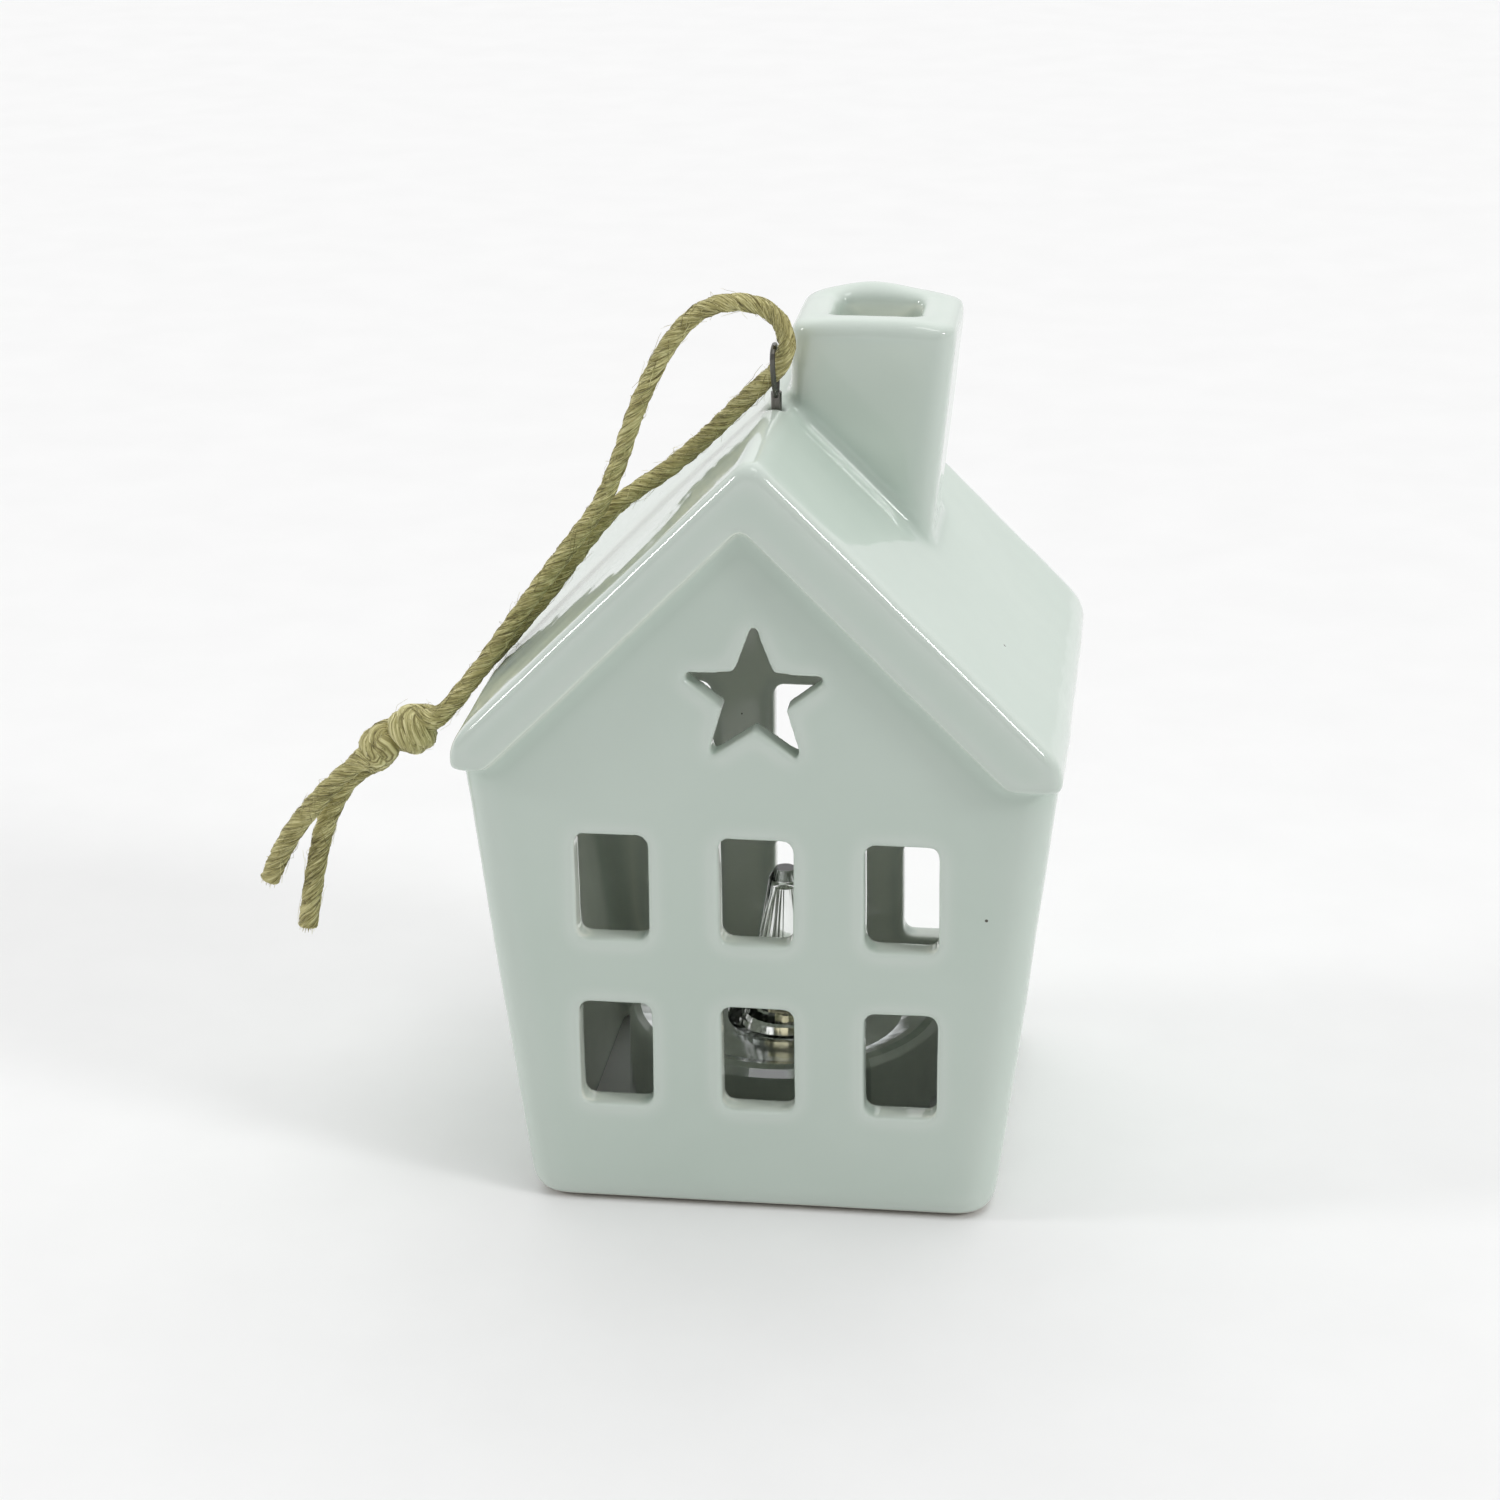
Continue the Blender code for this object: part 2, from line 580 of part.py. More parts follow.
def switch_parts():
    """Sliding knob in the base's slot, and the wiper that it pushes over the contact."""
    dark = material("switch_black", (0.02, 0.02, 0.02), 0.5)
    w, d = (side / 2 for side in SWITCH_KNOB)
    outline = [(-w, -d), (w, -d), (w, d), (-w, d)]
    knob = make_object("switch_knob", prism(outline, 0.3 * MM, BASE_PLATE_TOP + 1.2 * MM, axis="Z"), dark)
    moved(knob, (-1.0 * MM, SWITCH_Y, 0.0))
    plate = [(-3.0 * MM, -1.2 * MM), (3.0 * MM, -1.2 * MM), (3.0 * MM, 1.2 * MM), (-3.0 * MM, 1.2 * MM)]
    low = BASE_PLATE_TOP + 1.2 * MM + GAP
    strip = make_object("switch_contact", prism(plate, low, low + GAP, axis="Z"),
                        material("contact_brass", (0.72, 0.58, 0.32), 0.3, 1.0))
    moved(strip, (0.0, SWITCH_Y, 0.0))


def tealight():
    light_housing()
    flame_lens()
    led_lamp()
    led_leads()
    coin_cell()
    contact_spring()
    base_plate()
    battery_door()
    switch_parts()


clear_scene()
ceramic_house()
wire_eye(material("dark_wire", (0.10, 0.10, 0.10), 0.4, 1.0))
twine()
tealight()
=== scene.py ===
import math
import random

import bmesh
import bpy
import numpy as np
from mathutils import Matrix, Vector, noise


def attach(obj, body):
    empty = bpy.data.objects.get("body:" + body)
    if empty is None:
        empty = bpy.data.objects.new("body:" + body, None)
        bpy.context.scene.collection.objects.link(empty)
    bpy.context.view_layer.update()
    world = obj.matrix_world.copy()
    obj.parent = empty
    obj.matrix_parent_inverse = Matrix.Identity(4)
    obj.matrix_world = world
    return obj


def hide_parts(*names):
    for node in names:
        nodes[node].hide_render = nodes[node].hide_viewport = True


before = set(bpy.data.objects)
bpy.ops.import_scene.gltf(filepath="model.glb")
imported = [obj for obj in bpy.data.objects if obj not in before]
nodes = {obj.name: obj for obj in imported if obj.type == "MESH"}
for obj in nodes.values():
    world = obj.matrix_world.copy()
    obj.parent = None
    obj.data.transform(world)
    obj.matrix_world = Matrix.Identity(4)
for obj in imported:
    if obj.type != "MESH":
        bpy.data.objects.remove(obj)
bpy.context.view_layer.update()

MM = 0.001
UP = Vector((0.0, 0.0, 1.0))

# ---------------------------------------------------------------- camera
CAMERA_PLACE = Vector((45.68, -362.83, 190.22)) * MM
CAMERA_TARGET = Vector((-1.18, 0.0, 43.81)) * MM
CAMERA_ROLL = math.radians(-0.494)
CAMERA_LENS = 81.15
CAMERA_SHIFT = (-0.0162, 0.0133)

# ---------------------------------------------------------------- twine
# The points and the knot's lengths are in millimetres. A value times MM is in metres.
TWINE_DIAMETER = 1.9 * MM
TWINE_PITCH = 7.5 * MM            # length of one turn of the plies
EYE_POINT = (0.0, -5.45, 93.05)   # where the twine crosses the wire eye
UPPER_STRAND = (
    (0.95, -5.9, 94.6), (1.4, -6.4, 96.4), (1.0, -6.6, 98.4), (-0.4, -6.6, 100.1),
    (-2.9, -6.5, 100.95), (-6.1, -6.4, 100.7), (-8.9, -6.3, 99.2), (-11.6, -6.2, 96.1),
    (-14.2, -6.0, 91.3), (-16.1, -5.8, 86.7), (-17.8, -5.2, 82.0), (-20.0, -4.8, 77.1),
    (-22.95, -5.2, 72.95), (-26.45, -6.3, 68.35), (-30.65, -7.6, 62.55), (-34.0, -8.6, 57.9),
    (-36.7, -9.6, 54.5), (-39.0, -10.4, 52.6),
)
LOWER_STRAND = (
    (-1.9, -4.9, 91.2), (-4.2, -4.1, 88.8), (-7.0, -3.3, 85.9), (-10.2, -2.2, 82.7),
    (-13.2, -1.6, 80.1), (-16.1, -1.7, 78.1), (-18.9, -2.4, 75.9), (-21.9, -2.7, 72.3),
    (-25.8, -3.8, 67.1), (-30.2, -5.0, 61.8), (-34.1, -6.3, 57.55), (-36.6, -7.4, 54.6),
    (-38.8, -8.3, 52.3),
)
SHORT_TAIL = (
    (-47.3, -10.9, 47.6), (-50.2, -11.0, 45.2), (-53.2, -11.0, 42.0),
    (-56.0, -10.9, 38.4), (-57.8, -10.7, 35.4), (-59.5, -10.4, 31.8),
)
LONG_TAIL = (
    (-46.9, -8.6, 46.2), (-49.8, -8.3, 43.8), (-52.0, -8.3, 40.4), (-53.4, -8.5, 36.6),
    (-54.4, -8.7, 32.4), (-55.1, -8.9, 28.6), (-55.7, -9.0, 25.4),
)
KNOT_CENTRE = Vector((-43.3, -9.9, 49.9))
KNOT_AXIS = Vector((-8.0, -0.4, -5.7)).normalized()
KNOT_RADIUS = 1.35                # of the middle of a wrapped strand round the knot's axis
KNOT_TURNS = 1.25
KNOT_START = -3.15                # along the knot's axis, before a strand's sway and offset
KNOT_ADVANCE = 0.67               # along the axis for each radian of a turn
KNOT_SWAY = 1.0                   # how far a turn leans to and fro along the axis
KNOT_OFFSET = 0.6                 # each strand's distance from the pair's middle in the knot
KNOT_SWELLING = 0.55              # how much fatter the twine is in the knot, and in a tail
TAIL_SWELLING = 0.17
ROUTE_SPACING = 0.16 * MM
CLOSE_FIBRES = 900                # that lie along each cord's twist
LOOSE_FIBRES = 110                # that stand off it
END_FIBRES = 45                   # that splay out of each cut end


# ================================================================ materials
def new_material(name):
    """A new material, its node tree and its Principled node."""
    finish = bpy.data.materials.new(name)
    finish.use_nodes = True
    return finish, finish.node_tree, finish.node_tree.nodes["Principled BSDF"]


def add(tree, kind, values=None, **settings):
    """A node of that kind with its properties and its sockets' values set."""
    node = tree.nodes.new(kind)
    for key, value in settings.items():
        setattr(node, key, value)
    for key, value in (values or {}).items():
        node.inputs[key].default_value = value
    return node


def place_coordinates(tree):
    """Object coordinates, in metres."""
    return add(tree, "ShaderNodeTexCoord").outputs["Object"]


def noise_value(tree, vector, scale, detail=3.0, roughness=0.5):
    made = add(tree, "ShaderNodeTexNoise", {"Scale": scale, "Detail": detail, "Roughness": roughness})
    tree.links.new(vector, made.inputs["Vector"])
    return made.outputs["Fac"]


def ramp(tree, value, stops):
    """Colours or greys along a value: stops are (place, colour)."""
    made = add(tree, "ShaderNodeValToRGB")
    elements = made.color_ramp.elements
    while len(elements) < len(stops):
        elements.new(0.5)
    for element, (place, colour) in zip(elements, stops):
        element.position = place
        element.color = (*colour, 1.0) if hasattr(colour, "__len__") else (colour, colour, colour, 1.0)
    tree.links.new(value, made.inputs["Fac"])
    return made.outputs["Color"]


def mix_colour(tree, factor, first, second, blend="MIX"):
    """Factor, first and second are sockets or plain values."""
    made = add(tree, "ShaderNodeMix", data_type="RGBA", blend_type=blend)
    for socket, value in ((made.inputs[0], factor), (made.inputs[6], first), (made.inputs[7], second)):
        if isinstance(value, bpy.types.NodeSocket):
            tree.links.new(value, socket)
        elif hasattr(value, "__len__"):
            socket.default_value = (*value, 1.0)
        else:
            socket.default_value = value
    return made.outputs[2]


def math_value(tree, operation, *values):
    """A maths node's result: each value is a socket or a number."""
    made = add(tree, "ShaderNodeMath", operation=operation)
    for socket, value in zip(made.inputs, values):
        if isinstance(value, bpy.types.NodeSocket):
            tree.links.new(value, socket)
        else:
            socket.default_value = value
    return made.outputs[0]


def bump(tree, shader, height, distance, strength=1.0):
    made = add(tree, "ShaderNodeBump", {"Distance": distance, "Strength": strength})
    tree.links.new(height, made.inputs["Height"])
    tree.links.new(made.outputs["Normal"], shader.inputs["Normal"])


def glaze_material():
    """Glossy glaze with a faint green-grey cast, painted paler inside as painted bounce light, and bare
    clay under the foot.
    """
    finish, tree, shader = new_material("glaze")
    place = place_coordinates(tree)

    drift = noise_value(tree, place, 38.0, 3.0)
    tone = ramp(tree, drift, ((0.3, (0.590, 0.688, 0.615)), (0.7, (0.622, 0.714, 0.644))))
    # Painted light: surfaces facing the hollow are painted paler, standing in for the light that bounces
    # round inside the house.
    inside = add(tree, "ShaderNodeAttribute", attribute_name="inside").outputs["Fac"]
    tone = mix_colour(tree, inside, tone, (0.900, 0.945, 0.850))
    edge = add(tree, "ShaderNodeAttribute", attribute_name="edge").outputs["Fac"]
    pooled = ramp(tree, edge, ((0.30, 1.0), (0.50, 0.0)))
    thin = ramp(tree, edge, ((0.52, 0.0), (0.80, 1.0)))
    tone = mix_colour(tree, math_value(tree, "MULTIPLY", pooled, 0.45), tone, (0.500, 0.600, 0.530))
    tone = mix_colour(tree, math_value(tree, "MULTIPLY", thin, 0.50), tone, (0.700, 0.765, 0.710))

    cells = add(tree, "ShaderNodeTexVoronoi", {"Scale": 150.0, "Randomness": 1.0})
    tree.links.new(place, cells.inputs["Vector"])
    near = math_value(tree, "LESS_THAN", cells.outputs["Distance"], 0.030)
    pick = add(tree, "ShaderNodeSeparateColor")
    tree.links.new(cells.outputs["Color"], pick.inputs["Color"])
    chosen = math_value(tree, "GREATER_THAN", pick.outputs["Red"], 0.60)
    speck = math_value(tree, "MULTIPLY", near, chosen)
    tone = mix_colour(tree, speck, tone, (0.10, 0.095, 0.075))

    bare = add(tree, "ShaderNodeAttribute", attribute_name="bare").outputs["Fac"]
    grain = noise_value(tree, place, 2600.0, 4.0)
    biscuit = ramp(tree, grain, ((0.3, (0.66, 0.61, 0.53)), (0.7, (0.80, 0.76, 0.68))))
    tree.links.new(mix_colour(tree, bare, tone, biscuit), shader.inputs["Base Color"])

    wet = ramp(tree, noise_value(tree, place, 170.0, 2.0), ((0.35, 0.035), (0.7, 0.085)))
    tree.links.new(mix_colour(tree, bare, wet, (0.85, 0.85, 0.85)), shader.inputs["Roughness"])
    ripple = noise_value(tree, place, 420.0, 2.0)
    bump(tree, shader, ripple, 0.02 * MM, 0.40)
    shader.inputs["IOR"].default_value = 1.52
    return finish


def jute_material(name, light):
    """Jute: dry golden-brown fibres that run along the twist, with darker gaps between them."""
    finish, tree, shader = new_material(name)
    along = add(tree, "ShaderNodeAttribute", attribute_name="fibre").outputs["Vector"]
    strands = noise_value(tree, along, 4.2, 4.0, 0.62)
    place = place_coordinates(tree)
    patches = noise_value(tree, place, 260.0, 3.0)
    dark = (0.130 * light, 0.108 * light, 0.036 * light)
    middle = (0.400 * light, 0.365 * light, 0.150 * light)
    pale = (0.720 * light, 0.675 * light, 0.370 * light)
    tone = ramp(tree, strands, ((0.36, dark), (0.49, middle), (0.64, pale)))
    warm = mix_colour(tree, ramp(tree, patches, ((0.4, 0.0), (0.62, 0.30))), tone, (0.520, 0.460, 0.200))
    tree.links.new(warm, shader.inputs["Base Color"])
    shader.inputs["Roughness"].default_value = 0.82
    shader.inputs["Specular IOR Level"].default_value = 0.25
    shader.inputs["Sheen Weight"].default_value = 0.25
    shader.inputs["Sheen Roughness"].default_value = 0.5
    bump(tree, shader, strands, 0.09 * MM, 0.8)
    return finish


def metal_material(name, colour, roughness, scratch_scale, stretch, contrast):
    """Metal with fine brushed or rubbed marks in its roughness and its height."""
    finish, tree, shader = new_material(name)
    place = place_coordinates(tree)
    turned = add(tree, "ShaderNodeMapping", {"Scale": stretch})
    tree.links.new(place, turned.inputs["Vector"])
    marks = noise_value(tree, turned.outputs["Vector"], scratch_scale, 4.0, 0.6)
    cloud = noise_value(tree, place, 160.0, 2.0)
    dull = tuple(c * (1.0 - 2.0 * contrast) for c in colour)
    tone = ramp(tree, cloud, ((0.3, dull), (0.65, colour)))
    tree.links.new(tone, shader.inputs["Base Color"])
    rough = ramp(tree, marks, ((0.3, max(roughness - contrast, 0.03)), (0.7, roughness + contrast)))
    tree.links.new(rough, shader.inputs["Roughness"])
    shader.inputs["Metallic"].default_value = 1.0
    bump(tree, shader, marks, 0.01 * MM, 0.5)
    return finish


def plastic_material(name, colour, roughness, grain=1500.0):
    """Moulded plastic with a fine spark-eroded grain and slight unevenness."""
    finish, tree, shader = new_material(name)
    place = place_coordinates(tree)
    cloud = noise_value(tree, place, 110.0, 3.0)
    dull = tuple(c * 0.93 for c in colour)
    tree.links.new(ramp(tree, cloud, ((0.35, dull), (0.65, colour))), shader.inputs["Base Color"])
    texture = noise_value(tree, place, grain, 3.0)
    rough = ramp(tree, texture, ((0.3, roughness - 0.06), (0.7, roughness + 0.08)))
    tree.links.new(rough, shader.inputs["Roughness"])
    bump(tree, shader, texture, 0.012 * MM, 0.5)
    shader.inputs["IOR"].default_value = 1.49
    return finish


def clear_material(name, colour, roughness):
    """Clear moulded plastic: it lets light through and has faint flow marks."""
    finish, tree, shader = new_material(name)
    place = place_coordinates(tree)
    flow = noise_value(tree, place, 320.0, 2.0)
    rough = ramp(tree, flow, ((0.35, roughness), (0.7, roughness + 0.06)))
    tree.links.new(rough, shader.inputs["Roughness"])
    bump(tree, shader, flow, 0.03 * MM, 0.4)
    shader.inputs["Base Color"].default_value = (*colour, 1.0)
    shader.inputs["Transmission Weight"].default_value = 1.0
    shader.inputs["IOR"].default_value = 1.49
    return finish


# ================================================================ camera, floor and light
def make_camera():
    camera = bpy.data.objects.new("camera", bpy.data.cameras.new("camera"))
    bpy.context.scene.collection.objects.link(camera)
    forward = (CAMERA_TARGET - CAMERA_PLACE).normalized()
    right = forward.cross(UP).normalized()
    above = right.cross(forward)
    rolled_right = right * math.cos(CAMERA_ROLL) + above * math.sin(CAMERA_ROLL)
    rolled_up = above * math.cos(CAMERA_ROLL) - right * math.sin(CAMERA_ROLL)
    turn = Matrix((rolled_right, rolled_up, -forward)).transposed().to_4x4()
    camera.matrix_world = Matrix.Translation(CAMERA_PLACE) @ turn
    camera.data.lens = CAMERA_LENS
    camera.data.sensor_width = 36.0
    camera.data.shift_x, camera.data.shift_y = CAMERA_SHIFT
    camera.data.clip_start = 0.01
    camera.data.clip_end = 20.0
    bpy.context.scene.camera = camera


def make_floor():
    mesh = bpy.data.meshes.new("floor")
    work = bmesh.new()
    bmesh.ops.create_grid(work, x_segments=24, y_segments=24, size=4.0)
    work.to_mesh(mesh)
    work.free()
    floor = bpy.data.objects.new("floor", mesh)
    bpy.context.scene.collection.objects.link(floor)
    finish, tree, shader = new_material("floor_paper")
    fleck = noise_value(tree, place_coordinates(tree), 60.0, 4.0)
    tree.links.new(ramp(tree, fleck, ((0.3, 0.87), (0.7, 0.89))), shader.inputs["Base Color"])
    shader.inputs["Roughness"].default_value = 0.7
    shader.inputs["Specular IOR Level"].default_value = 0.2
    mesh.materials.append(finish)


def sunlight(name, direction, strength, angle):
    """Light from a far, soft source, so that the whole floor is lit evenly."""
    data = bpy.data.lights.new(name, "SUN")
    data.energy = strength
    data.angle = math.radians(angle)
    lamp = bpy.data.objects.new(name, data)
    bpy.context.scene.collection.objects.link(lamp)
    lamp.rotation_mode = "QUATERNION"
    lamp.rotation_quaternion = (-Vector(direction)).to_track_quat("-Z", "Y")


def make_light():
    world = bpy.data.worlds.new("studio")
    bpy.context.scene.world = world
    world.use_nodes = True
    tree = world.node_tree
    sky = tree.nodes["Background"]
    direction = add(tree, "ShaderNodeTexCoord").outputs["Generated"]
    parts = add(tree, "ShaderNodeSeparateXYZ")
    tree.links.new(direction, parts.inputs["Vector"])
    height = ramp(tree, parts.outputs["Z"], ((0.0, 0.17), (0.35, 0.42), (1.0, 1.30)))
    depth = math_value(tree, "MULTIPLY_ADD", parts.outputs["Y"], 0.5, 0.5)
    share = ramp(tree, depth, ((0.0, 0.42), (0.5, 0.78), (1.0, 1.20)))
    behind = ramp(tree, parts.outputs["Y"], ((0.30, 0.0), (0.90, 0.60)))
    tone = mix_colour(tree, 1.0, mix_colour(tree, 1.0, height, share, "MULTIPLY"), behind, "ADD")
    tree.links.new(tone, sky.inputs["Color"])
    sky.inputs["Strength"].default_value = 1.0
    sunlight("right_window", (0.77, -0.30, 0.52), 0.62, 12.0)
    sunlight("left_window", (-0.89, -0.16, 0.42), 0.56, 11.0)
    sunlight("overhead", (0.25, -0.12, 0.96), 0.42, 24.0)
    bpy.context.scene.view_settings.view_transform = "Standard"


# ================================================================ twine
def catmull_rom(points, per_span=16):
    """Points along a smooth curve through the given points."""
    known = [2 * points[0] - points[1], *points, 2 * points[-1] - points[-2]]
    made = []
    for a, b, c, d in zip(known, known[1:], known[2:], known[3:]):
        for step in range(per_span):
            t = step / per_span
            made.append(0.5 * (2 * b + (c - a) * t + (2 * a - 5 * b + 4 * c - d) * t ** 2
                               + (3 * b - a - 3 * c + d) * t ** 3))
    made.append(points[-1])
    return np.array([tuple(p) for p in made])


def evenly(points, spacing):
    """The same curve with points a fixed distance apart, and that curve's length."""
    steps = np.linalg.norm(np.diff(points, axis=0), axis=1)
    run = np.concatenate(([0.0], np.cumsum(steps)))
    count = max(int(round(run[-1] / spacing)), 2)
    wanted = np.linspace(0.0, run[-1], count + 1)
    spaced = np.stack([np.interp(wanted, run, points[:, k]) for k in range(3)], axis=1)
    return spaced, run[-1]


def carried_frames(points):
    """Two side directions at each point, carried along without twist."""
    tangents = np.gradient(points, axis=0)
    tangents /= np.linalg.norm(tangents, axis=1)[:, None]
    side = np.cross(tangents[0], (0.0, 1.0, 0.3))
    side /= np.linalg.norm(side)
    first = []
    for tangent in tangents:
        side = side - tangent * side.dot(tangent)
        side /= np.linalg.norm(side)
        first.append(side)
    first = np.array(first)
    return first, np.cross(tangents, first)


def knot_wrap(offset):
    """One strand's turns in the knot, which lie offset along the knot's axis."""
    toward = Vector((0.0, -1.0, 0.0))
    front = (toward - KNOT_AXIS * toward.dot(KNOT_AXIS)).normalized()
    top = front.cross(KNOT_AXIS)
    if top.z < 0:
        top = -top
    made = []
    steps = 15
    for step in range(steps + 1):
        angle = 2 * math.pi * KNOT_TURNS * step / steps
        along = KNOT_ADVANCE * angle + KNOT_SWAY * math.cos(angle) + KNOT_START + offset
        swell = KNOT_RADIUS * (1.0 - 0.12 * abs(2 * step / steps - 1.0) ** 4)
        outward = top * math.cos(angle) + front * math.sin(angle)
        made.append(KNOT_CENTRE + KNOT_AXIS * along + outward * swell)
    return made


def strand_route(strand, offset, tail):
    """The whole of one strand: from the eye, down the roof, through the knot and out as a tail."""
    points = [Vector(EYE_POINT), *map(Vector, strand), *knot_wrap(offset), *map(Vector, tail)]
    return evenly(catmull_rom([p * MM for p in points]), ROUTE_SPACING)


def ply_radius(angle, fat, plies=3):
    """Outline of twisted plies round the twine's axis, as a share of its radius: rounder where fat."""
    sector = 2 * math.pi / plies
    part = (angle + sector / 2) % sector - sector / 2
    lobes = 0.44 * math.cos(part) + math.sqrt(0.56 ** 2 - (0.44 * math.sin(part)) ** 2)
    depth = 0.40 * max(1.0 - 1.4 * (fat - 1.0), 0.0)
    return 1.0 - depth + depth * lobes


def swelling(points):
    """How much wider than elsewhere the twine is at each point: it opens up where it is knotted."""
    away = np.linalg.norm(points - np.array(KNOT_CENTRE * MM), axis=1)
    in_knot = np.interp(away, (4.0 * MM, 6.4 * MM), (KNOT_SWELLING, 0.0))
    in_tail = np.interp(points[:, 2], (42.0 * MM, 48.0 * MM), (TAIL_SWELLING, 0.0))
    return 1.0 + np.maximum(in_knot, in_tail)


def twine_mesh(name, points, finish, seed, sides=30):
    """A twisted twine along the points, with ridges of fibre in its surface."""
    first, second = carried_frames(points)
    radius = TWINE_DIAMETER / 2
    fat = swelling(points)
    spacing = np.linalg.norm(points[1] - points[0])
    work = bmesh.new()
    fibre_layer = work.verts.layers.float_vector.new("fibre")
    rings = []
    count = len(points)
    for i in range(count):
        travelled = i * spacing
        twist = 2 * math.pi * travelled / TWINE_PITCH
        slow = 1.0 + 0.05 * noise.noise(Vector((travelled / (5 * MM), seed, 0.0)))
        ring = []
        for k in range(sides):
            angle = 2 * math.pi * k / sides
            laid = angle - twist
            wrapped = Vector((math.cos(laid) * 1.6, math.sin(laid) * 1.6, travelled / (2.6 * MM) + seed))
            ridge = noise.noise(wrapped * 2.4) * 0.085 + noise.noise(wrapped * 6.0) * 0.045
            reach = radius * fat[i] * slow * (ply_radius(laid, fat[i]) * 1.04 + ridge)
            spot = points[i] + reach * (math.cos(angle) * first[i] + math.sin(angle) * second[i])
            vertex = work.verts.new(spot)
            vertex[fibre_layer] = (math.cos(laid), math.sin(laid), travelled / (9.0 * MM) + seed)
            ring.append(vertex)
        rings.append(ring)
    for lower, upper in zip(rings, rings[1:]):
        for k in range(sides):
            work.faces.new((lower[k], lower[(k + 1) % sides], upper[(k + 1) % sides], upper[k]))
    work.faces.new(list(reversed(rings[0])))
    work.faces.new(rings[-1])
    bmesh.ops.recalc_face_normals(work, faces=work.faces)
    return finished_object(name, work, finish)


def finished_object(name, work, finish):
    mesh = bpy.data.meshes.new(name)
    work.to_mesh(mesh)
    work.free()
    mesh.materials.append(finish)
    made = bpy.data.objects.new(name, mesh)
    bpy.context.scene.collection.objects.link(made)
    mesh.shade_smooth()
    return made


def add_hair(work, layer, spine, thick, seed):
    """A fine three-sided fibre along the spine's points, pointed at both ends."""
    spine = np.array(spine)
    first, second = carried_frames(spine)
    last = len(spine) - 1
    rings = []
    for i, point in enumerate(spine):
        reach = thick * (0.25 + 0.75 * math.sin(math.pi * (0.12 + 0.76 * i / last)))
        ring = []
        for k in range(3):
            angle = 2 * math.pi * k / 3
            outward = math.cos(angle) * first[i] + math.sin(angle) * second[i]
            vertex = work.verts.new(point + reach * outward)
            vertex[layer] = (seed * 7.3, seed * 3.1, i * 0.05)
            ring.append(vertex)
        rings.append(ring)
    for lower, upper in zip(rings, rings[1:]):
        for k in range(3):
            work.faces.new((lower[k], lower[(k + 1) % 3], upper[(k + 1) % 3], upper[k]))
    work.faces.new(list(reversed(rings[0])))
    work.faces.new(rings[-1])


def fuzz_mesh(name, points, finish, seed, close_count, loose_count):
    """Fibres on the twine: most lie along the twist, a few stand off it."""
    chance = random.Random(seed)
    first, second = carried_frames(points)
    spacing = np.linalg.norm(points[1] - points[0])
    count = len(points)
    radius = TWINE_DIAMETER / 2
    fat = swelling(points)
    work = bmesh.new()
    layer = work.verts.layers.float_vector.new("fibre")
    for item in range(close_count + loose_count):
        loose = item >= close_count
        length = chance.uniform(2.0, 6.0) * MM
        start = chance.uniform(-0.5 * MM, (count - 1) * spacing - 0.6 * length)
        turn = chance.uniform(0.75, 1.25) / TWINE_PITCH
        if loose or chance.random() < 0.18:
            turn *= chance.uniform(-1.2, 2.4)
        angle0 = chance.uniform(0, 2 * math.pi)
        lift = chance.uniform(0.15, 0.75) * MM if loose else 0.03 * MM
        from_middle = chance.random() < 0.5
        spine = []
        steps = 7
        for step in range(steps + 1):
            part = step / steps
            travelled = min(max(start + part * length, 0.0), (count - 1.001) * spacing)
            i = int(travelled / spacing)
            angle = angle0 + 2 * math.pi * turn * (start + part * length)
            laid = angle - 2 * math.pi * travelled / TWINE_PITCH
            bow = part ** 2 if from_middle else (1 - part) ** 2
            reach = radius * fat[i] * (ply_radius(laid, fat[i]) * 1.065) + lift * bow
            spine.append(points[i] + reach * (math.cos(angle) * first[i] + math.sin(angle) * second[i]))
        steps_apart = np.linalg.norm(np.diff(np.array(spine), axis=0), axis=1)
        if steps_apart.min() < 0.02 * MM:
            continue
        thick = chance.uniform(0.016, 0.030) * MM if loose else chance.uniform(0.035, 0.075) * MM
        add_hair(work, layer, spine, thick, chance.random())
    add_frayed_end(work, layer, points, chance)
    return finished_object(name, work, finish)


def add_frayed_end(work, layer, points, chance):
    """Cut fibres that splay out of the twine's free end."""
    tip = points[-1]
    heading = points[-1] - points[-6]
    heading /= np.linalg.norm(heading)
    side = np.cross(heading, (0.0, 1.0, 0.0))
    side /= np.linalg.norm(side)
    other = np.cross(heading, side)
    for _ in range(END_FIBRES):
        angle = chance.uniform(0, 2 * math.pi)
        out = side * math.cos(angle) + other * math.sin(angle)
        reach = chance.uniform(0.1, 0.9) * TWINE_DIAMETER / 2
        length = chance.uniform(0.2, 0.9) * MM
        splay = chance.uniform(0.0, 0.35)
        base = tip - heading * 0.8 * MM + out * reach
        spine = [base + heading * (0.8 * MM + length) * part + out * splay * length * part ** 2
                 for part in (0.0, 0.25, 0.5, 0.75, 1.0)]
        add_hair(work, layer, spine, chance.uniform(0.02, 0.05) * MM, chance.random())


def knot_core(finish):
    """The part of the strands that passes through the middle of the knot."""
    ends = KNOT_AXIS * 3.4
    bow = Vector((0.0, 0.25, 0.2))
    route = [KNOT_CENTRE - ends, KNOT_CENTRE - ends * 0.4 + bow,
             KNOT_CENTRE + ends * 0.4 + bow, KNOT_CENTRE + ends]
    points, _ = evenly(catmull_rom([p * MM for p in route]), ROUTE_SPACING)
    return twine_mesh("twine_knot_core", points, finish, 9.0)


